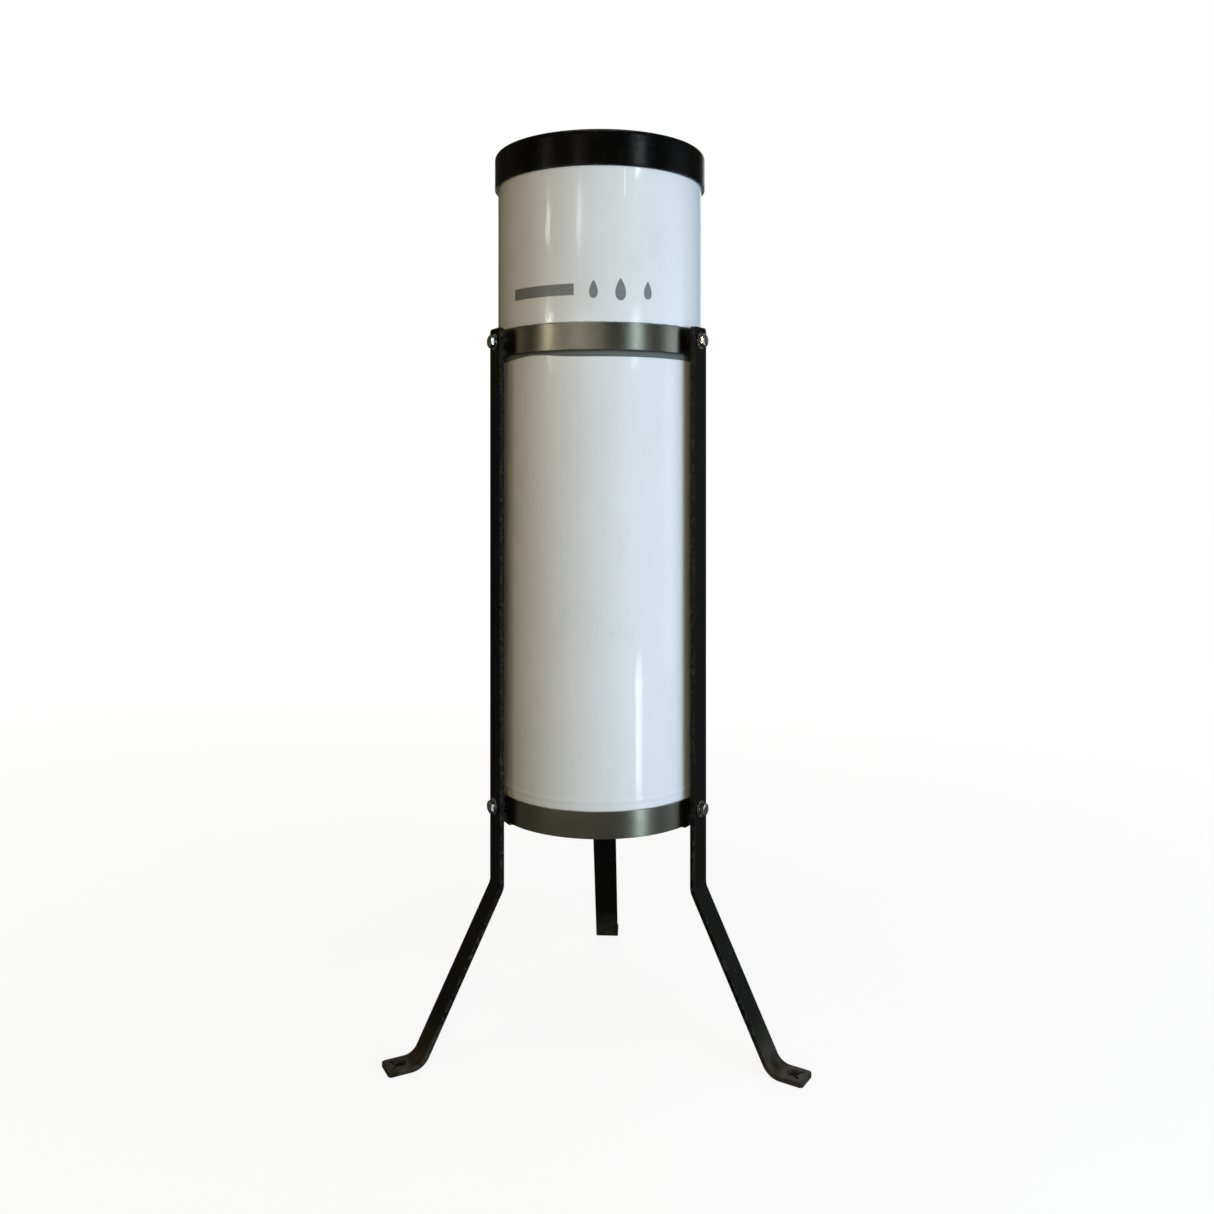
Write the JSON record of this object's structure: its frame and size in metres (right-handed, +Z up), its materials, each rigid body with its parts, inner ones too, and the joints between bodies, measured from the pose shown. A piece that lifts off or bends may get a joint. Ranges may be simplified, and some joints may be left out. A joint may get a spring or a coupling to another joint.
{
  "type": "rain gauge",
  "caption": "Standing rain and snow gauge: round receiver with a black rim on a white overflow can, held by two metal rings on three bent flat-bar legs.",
  "frame": {"origin": "middle of the overflow can's flat underside, on the gauge's vertical axis", "axes": "+Z up along the gauge's axis, +Y towards the rear leg, -Y towards the front, +X to the right seen from the front"},
  "size_m": [0.399, 0.3464, 0.8749],
  "materials": {
    "black_coat": "satin black powder coat",
    "rim_black": "satin black, finely turned",
    "white_enamel": "gloss white enamel",
    "ring_steel": "drawn stainless band",
    "liner_grey": "matt dark grey strip",
    "zinc": "bright zinc plate",
    "clear_tube": "clear polycarbonate",
    "base_plastic": "moulded light grey"
  },
  "bodies": {
    "stand": {"bolt_lower_left": "zinc", "bolt_lower_rear": "zinc", "bolt_lower_right": "zinc", "bolt_upper_left": "zinc", "bolt_upper_rear": "zinc", "bolt_upper_right": "zinc", "can_rest_left": "ring_steel", "can_rest_rear": "ring_steel", "can_rest_right": "ring_steel", "leg_left": "black_coat", "leg_rear": "black_coat", "leg_right": "black_coat", "lock_washer_lower_left": "zinc", "lock_washer_lower_rear": "zinc", "lock_washer_lower_right": "zinc", "lock_washer_upper_left": "zinc", "lock_washer_upper_rear": "zinc", "lock_washer_upper_right": "zinc", "lower_ring": "ring_steel", "ring_liner": "liner_grey", "weld_nut_lower_left": "black_coat", "weld_nut_lower_rear": "black_coat", "weld_nut_lower_right": "black_coat", "weld_nut_upper_left": "black_coat", "weld_nut_upper_rear": "black_coat", "weld_nut_upper_right": "black_coat", "upper_ring": "ring_steel", "washer_lower_left": "zinc", "washer_lower_rear": "zinc", "washer_lower_right": "zinc", "washer_upper_left": "zinc", "washer_upper_rear": "zinc", "washer_upper_right": "zinc"},
    "can": {"can_bottom": "white_enamel", "can_shell": "white_enamel", "tube_locator": "white_enamel"},
    "receiver": {"funnel_cone": "white_enamel", "funnel_spout": "white_enamel", "receiver_shell": "white_enamel", "rim_ring": "rim_black"},
    "measuring_tube_unit": {"measuring_tube": "clear_tube", "tube_base": "base_plastic"}
  },
  "joints": [
    {"name": "can_lift", "type": "slide", "parent": "stand", "child": "can", "axis": [0, 0, 1], "range_m": [0, 0.5]},
    {"name": "receiver_lift", "type": "slide", "parent": "can", "child": "receiver", "axis": [0, 0, 1], "range_m": [0, 0.8]},
    {"name": "tube_lift", "type": "slide", "parent": "can", "child": "measuring_tube_unit", "axis": [0, 0, 1], "range_m": [0, 0.62]}
  ],
  "couplings": [
    {"joint": "tube_lift", "follows": "receiver_lift", "ratio": 0.775}
  ]
}
